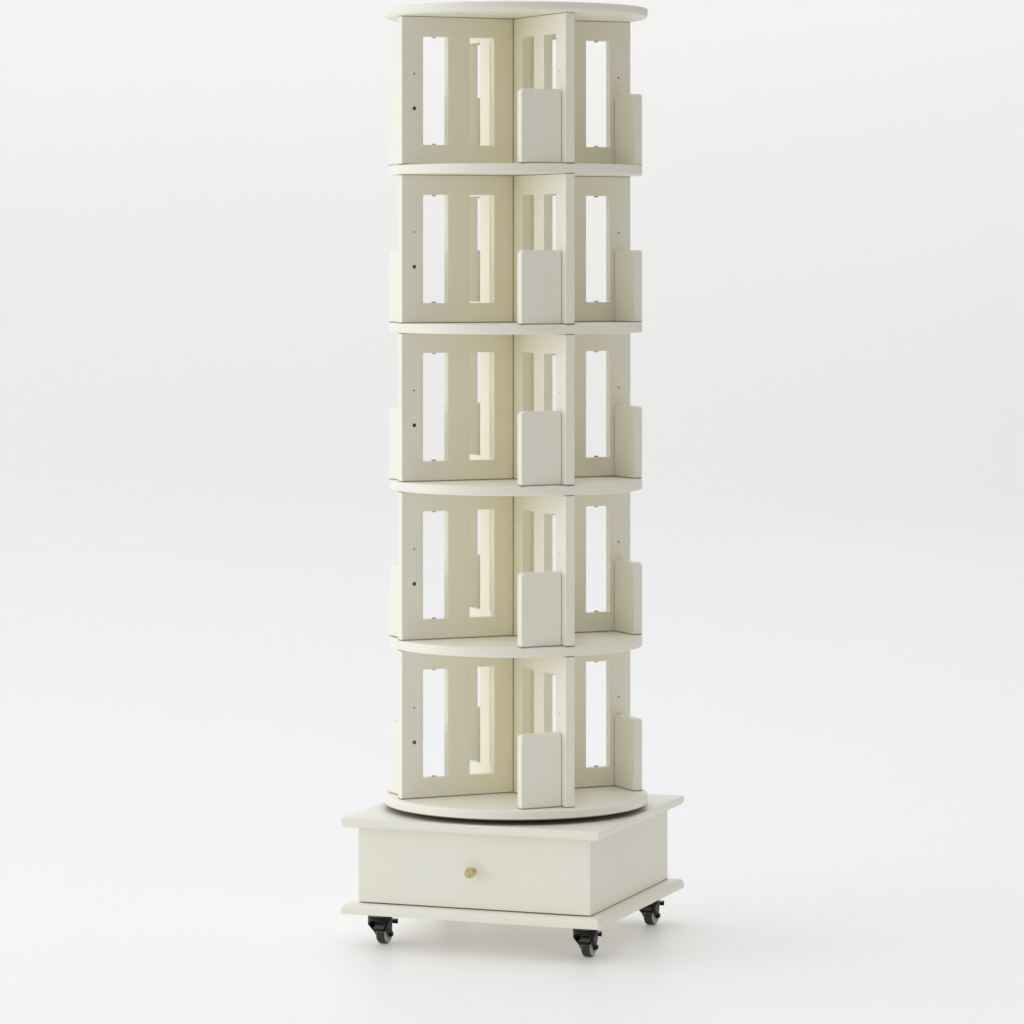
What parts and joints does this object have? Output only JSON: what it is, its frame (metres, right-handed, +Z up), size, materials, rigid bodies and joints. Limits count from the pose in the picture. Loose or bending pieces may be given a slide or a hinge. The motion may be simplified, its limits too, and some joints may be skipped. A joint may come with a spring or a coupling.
{
  "type": "revolving bookcase",
  "caption": "White floor-standing bookcase: round tiers with crossed windowed dividers turn on a square base with a drawer and castors.",
  "frame": {"origin": "on the floor, under the turning axis and the middle of the square base", "axes": "+Z up along the turning axis; the drawer front faces -Y; +X to the right of someone facing the drawer"},
  "size_m": [0.5, 0.5, 1.728],
  "materials": {
    "white_board": "off-white satin paint",
    "drawer_board": "thin white primer",
    "zinc_screw": "zinc plated",
    "zinc_plate": "zinc plated",
    "dark_screw": "bronzed",
    "nickel_bolt": "dull nickel",
    "bearing_steel": "polished",
    "black_plastic": "moulded",
    "grey_tyre": "hard tread",
    "brass": "satin, lightly aged"
  },
  "bodies": {
    "base": {"base_bottom_plate": "white_board", "base_top_plate": "white_board", "base_side_left": "white_board", "base_side_right": "white_board", "base_back": "white_board", "base_fixings": "zinc_screw", "runner_cabinet_left": "zinc_plate", "runner_cabinet_right": "zinc_plate", "turntable_lower_ring": "zinc_plate", "turntable_balls": "bearing_steel", "castor_screws": "zinc_screw", "castor_plate_front_left": "zinc_plate", "castor_plate_front_right": "zinc_plate", "castor_plate_rear_right": "zinc_plate", "castor_plate_rear_left": "zinc_plate"},
    "rotor": {"turntable_upper_ring": "zinc_plate", "rotor_bottom_disc": "white_board", "shelf_1": "white_board", "shelf_2": "white_board", "shelf_3": "white_board", "shelf_4": "white_board", "rotor_top_disc": "white_board", "divider_1a": "white_board", "divider_1b": "white_board", "divider_2a": "white_board", "divider_2b": "white_board", "divider_3a": "white_board", "divider_3b": "white_board", "divider_4a": "white_board", "divider_4b": "white_board", "divider_5a": "white_board", "divider_5b": "white_board", "book_stops_1": "white_board", "book_stops_2": "white_board", "book_stops_3": "white_board", "book_stops_4": "white_board", "book_stops_5": "white_board", "rotor_bolts": "nickel_bolt", "stop_fixings": "dark_screw"},
    "drawer": {"drawer_front": "white_board", "drawer_side_left": "drawer_board", "drawer_side_right": "drawer_board", "drawer_back": "drawer_board", "drawer_bottom": "drawer_board", "runner_drawer_left": "zinc_plate", "runner_drawer_right": "zinc_plate", "drawer_knob": "brass", "drawer_fixings": "zinc_screw"},
    "fork_front_left": {"castor_fork_front_left": "black_plastic"},
    "wheel_front_left": {"castor_wheel_front_left": "grey_tyre"},
    "brake_front_left": {"castor_brake_front_left": "black_plastic"},
    "fork_front_right": {"castor_fork_front_right": "black_plastic"},
    "wheel_front_right": {"castor_wheel_front_right": "grey_tyre"},
    "brake_front_right": {"castor_brake_front_right": "black_plastic"},
    "fork_rear_right": {"castor_fork_rear_right": "black_plastic"},
    "wheel_rear_right": {"castor_wheel_rear_right": "grey_tyre"},
    "brake_rear_right": {"castor_brake_rear_right": "black_plastic"},
    "fork_rear_left": {"castor_fork_rear_left": "black_plastic"},
    "wheel_rear_left": {"castor_wheel_rear_left": "grey_tyre"},
    "brake_rear_left": {"castor_brake_rear_left": "black_plastic"}
  },
  "joints": [
    {"name": "rotor_turn", "type": "hinge", "parent": "base", "child": "rotor", "pos_m": [0, 0, 0.245], "axis": [0, 0, 1], "continuous": true},
    {"name": "drawer_slide", "type": "slide", "parent": "base", "child": "drawer", "axis": [0, -1, 0], "range_m": [0, 0.29]},
    {"name": "swivel_front_left", "type": "hinge", "parent": "base", "child": "fork_front_left", "pos_m": [-0.2, -0.18, 0.055], "axis": [0, 0, 1], "continuous": true},
    {"name": "roll_front_left", "type": "hinge", "parent": "fork_front_left", "child": "wheel_front_left", "pos_m": [-0.19852, -0.16306, 0.0185], "axis": [-0.9962, 0.0872, 0], "continuous": true},
    {"name": "brake_press_front_left", "type": "hinge", "parent": "fork_front_left", "child": "brake_front_left", "pos_m": [-0.19978, -0.17746, 0.03914], "axis": [-0.9962, 0.0872, 0], "range_deg": [0, 9]},
    {"name": "swivel_front_right", "type": "hinge", "parent": "base", "child": "fork_front_right", "pos_m": [0.2, -0.18, 0.055], "axis": [0, 0, 1], "continuous": true},
    {"name": "roll_front_right", "type": "hinge", "parent": "fork_front_right", "child": "wheel_front_right", "pos_m": [0.20089, -0.16302, 0.0185], "axis": [-0.9986, 0.0523, 0], "continuous": true},
    {"name": "brake_press_front_right", "type": "hinge", "parent": "fork_front_right", "child": "brake_front_right", "pos_m": [0.20013, -0.17746, 0.03914], "axis": [-0.9986, 0.0523, 0], "range_deg": [0, 9]},
    {"name": "swivel_rear_right", "type": "hinge", "parent": "base", "child": "fork_rear_right", "pos_m": [0.2, 0.18, 0.055], "axis": [0, 0, 1], "continuous": true},
    {"name": "roll_rear_right", "type": "hinge", "parent": "fork_rear_right", "child": "wheel_rear_right", "pos_m": [0.20178, 0.19691, 0.0185], "axis": [-0.9945, 0.1045, 0], "continuous": true},
    {"name": "brake_press_rear_right", "type": "hinge", "parent": "fork_rear_right", "child": "brake_rear_right", "pos_m": [0.20027, 0.18253, 0.03914], "axis": [-0.9945, 0.1045, 0], "range_deg": [0, 9]},
    {"name": "swivel_rear_left", "type": "hinge", "parent": "base", "child": "fork_rear_left", "pos_m": [-0.2, 0.18, 0.055], "axis": [0, 0, 1], "continuous": true},
    {"name": "roll_rear_left", "type": "hinge", "parent": "fork_rear_left", "child": "wheel_rear_left", "pos_m": [-0.19941, 0.19699, 0.0185], "axis": [-0.9994, 0.0349, 0], "continuous": true},
    {"name": "brake_press_rear_left", "type": "hinge", "parent": "fork_rear_left", "child": "brake_rear_left", "pos_m": [-0.19991, 0.18254, 0.03914], "axis": [-0.9994, 0.0349, 0], "range_deg": [0, 9]}
  ]
}
